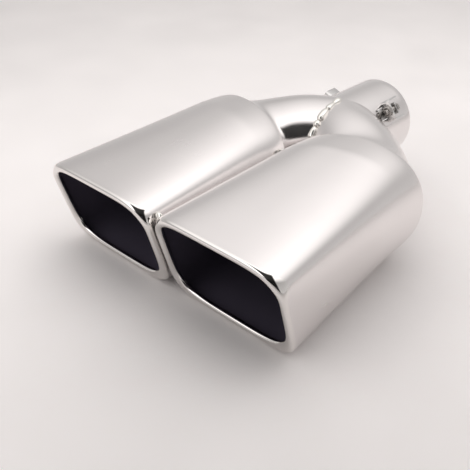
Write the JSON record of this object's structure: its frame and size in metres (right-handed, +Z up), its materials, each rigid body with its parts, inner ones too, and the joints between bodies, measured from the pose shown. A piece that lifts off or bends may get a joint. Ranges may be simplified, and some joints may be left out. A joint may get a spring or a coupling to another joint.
{
  "type": "exhaust tip",
  "caption": "Twin-outlet exhaust tip in polished steel: rounded rectangular mouths with rolled lips, mitred branches and a clamp-on inlet tube.",
  "frame": {"origin": "centre of the inlet tube's mouth", "axes": "+Y points out of the inlet's mouth along its axis, the outlets open towards -Y, +Z is up with the part lying on its undersides, +X is to the right"},
  "size_m": [0.2096, 0.2582, 0.0854],
  "materials": {
    "polished_shell": "mirror-polished stainless sheet",
    "polished_pipe": "polished stainless tube",
    "weld_bead": "rippled weld bead, as laid",
    "clamp_sheet": "bright stamped sheet",
    "clamp_strip": "plain spring strip",
    "clamp_bolt": "dull plated fastener"
  },
  "bodies": {
    "root": {"outlet_shell_left": "polished_shell", "outlet_shell_right": "polished_shell", "branch_pipe_left": "polished_pipe", "branch_pipe_right": "polished_pipe", "inlet_pipe": "polished_pipe", "collector_weld": "weld_bead", "front_tack_weld": "weld_bead", "rear_tack_weld": "weld_bead", "clamp_bracket_1": "clamp_sheet", "clamp_bracket_2": "clamp_sheet", "clamp_bracket_3": "clamp_sheet", "clamp_strip_1": "clamp_strip", "clamp_strip_2": "clamp_strip", "clamp_strip_3": "clamp_strip", "clamp_bolt_1": "clamp_bolt", "clamp_bolt_2": "clamp_bolt", "clamp_bolt_3": "clamp_bolt", "clamp_nut_1": "clamp_bolt", "clamp_nut_2": "clamp_bolt", "clamp_nut_3": "clamp_bolt"}
  },
  "joints": []
}
